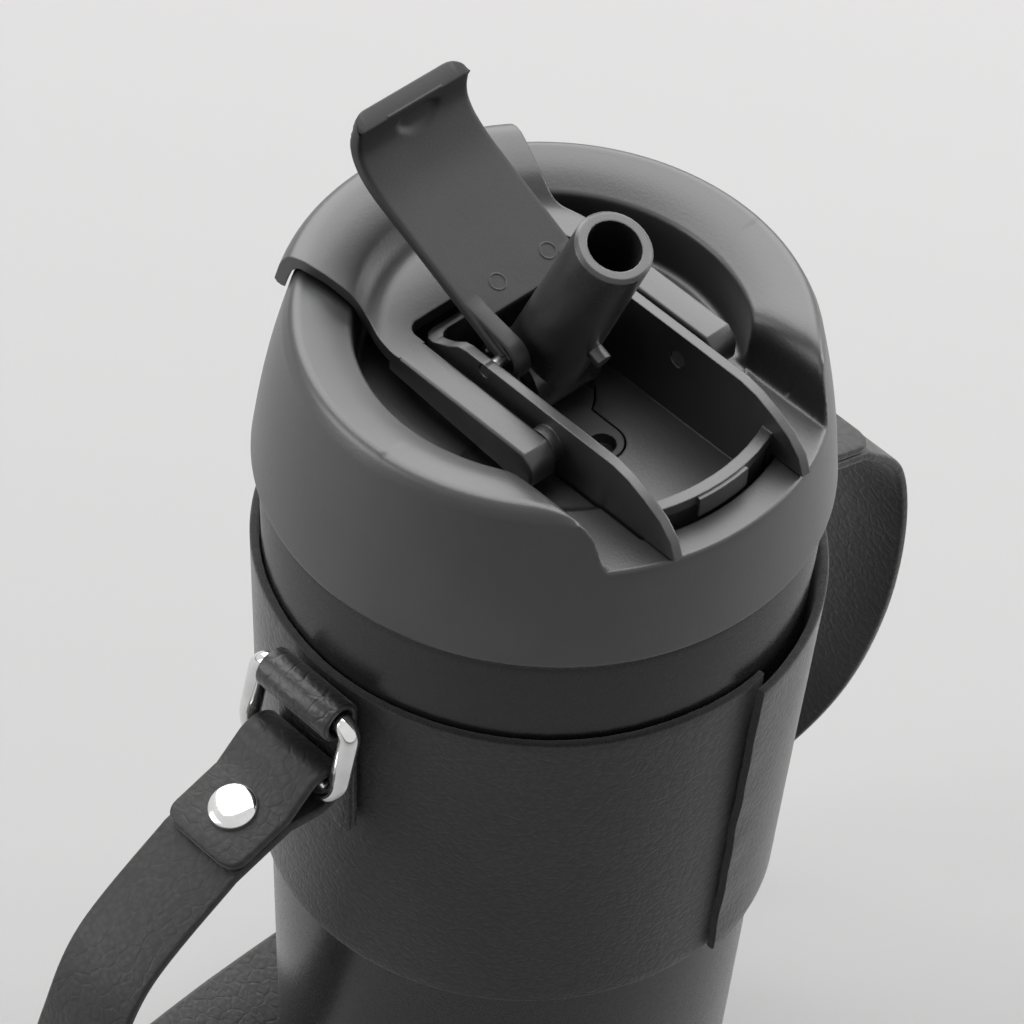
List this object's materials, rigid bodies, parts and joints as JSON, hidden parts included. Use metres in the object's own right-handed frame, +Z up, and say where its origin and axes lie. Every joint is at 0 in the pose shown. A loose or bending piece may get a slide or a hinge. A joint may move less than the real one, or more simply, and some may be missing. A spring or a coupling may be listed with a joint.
{
  "type": "double wall tumbler",
  "caption": "Insulated steel tumbler in a leather sleeve with a carry strap; screw lid with a folding drinking spout, a flip cap and a swing handle",
  "frame": {"origin": "centre of the flat base, on the surface that the tumbler stands on", "axes": "+Z up along the tumbler's axis, -Y towards the side that is drunk from, +X and -X towards the two strap rings"},
  "size_m": [0.1678, 0.0941, 0.2075],
  "materials": {
    "powder_coat": "matte black powder coat",
    "bare_steel": "brushed stainless steel",
    "leather": "fine-grained black artificial leather with raw edges",
    "chrome": "polished chrome plate",
    "lid_plastic": "matte black moulded plastic with a fine spark texture",
    "spout_plastic": "smooth satin black moulded plastic",
    "silicone": "matte black silicone",
    "clear_plastic": "translucent plastic tube"
  },
  "bodies": {
    "bottle": {"outer_wall": "powder_coat", "inner_wall": "bare_steel", "base_plate": "powder_coat", "sleeve": "leather", "ring_tab_left": "leather", "ring_tab_right": "leather", "strap": "leather"},
    "seal": {"lid_gasket": "silicone"},
    "lid": {"lid_shell": "lid_plastic", "lid_liner": "lid_plastic", "spout_housing": "lid_plastic", "spout_boot": "silicone", "straw": "clear_plastic", "cap_pin_left": "bare_steel", "cap_pin_right": "bare_steel", "handle_pin_left": "bare_steel", "handle_pin_right": "bare_steel"},
    "cap": {"flip_cap": "lid_plastic"},
    "spout": {"spout": "spout_plastic"},
    "handle": {"carry_handle": "lid_plastic"},
    "left_ring": {"ring_left": "chrome", "rivet_left": "chrome"},
    "right_ring": {"ring_right": "chrome", "rivet_right": "chrome"}
  },
  "joints": [
    {"name": "lid_lift", "type": "slide", "parent": "bottle", "child": "seal", "axis": [0, 0, 1], "range_m": [0, 0.15]},
    {"name": "lid_turn", "type": "hinge", "parent": "seal", "child": "lid", "pos_m": [0, 0, 0.165], "axis": [0, 0, 1], "continuous": true},
    {"name": "cap_flip", "type": "hinge", "parent": "lid", "child": "cap", "pos_m": [0, 0.0003, 0.1826], "axis": [1, 0, 0], "range_deg": [0, 155]},
    {"name": "spout_fold", "type": "hinge", "parent": "lid", "child": "spout", "pos_m": [0, 0.0022, 0.1747], "axis": [1, 0, 0], "range_deg": [0, 68.5]},
    {"name": "handle_swing", "type": "hinge", "parent": "lid", "child": "handle", "pos_m": [0, -0.013, 0.1789], "axis": [1, 0, 0], "range_deg": [0, 11]},
    {"name": "left_ring_swing", "type": "hinge", "parent": "bottle", "child": "left_ring", "pos_m": [-0.04511, 0, 0.1393], "axis": [0, 1, 0], "range_deg": [0, 90], "deforming": ["strap"]},
    {"name": "right_ring_swing", "type": "hinge", "parent": "bottle", "child": "right_ring", "pos_m": [0.04511, 0, 0.1393], "axis": [0, -1, 0], "range_deg": [0, 90], "deforming": ["strap"]}
  ],
  "couplings": [
    {"joint": "spout_fold", "follows": "cap_flip", "ratio": 0.4419}
  ]
}
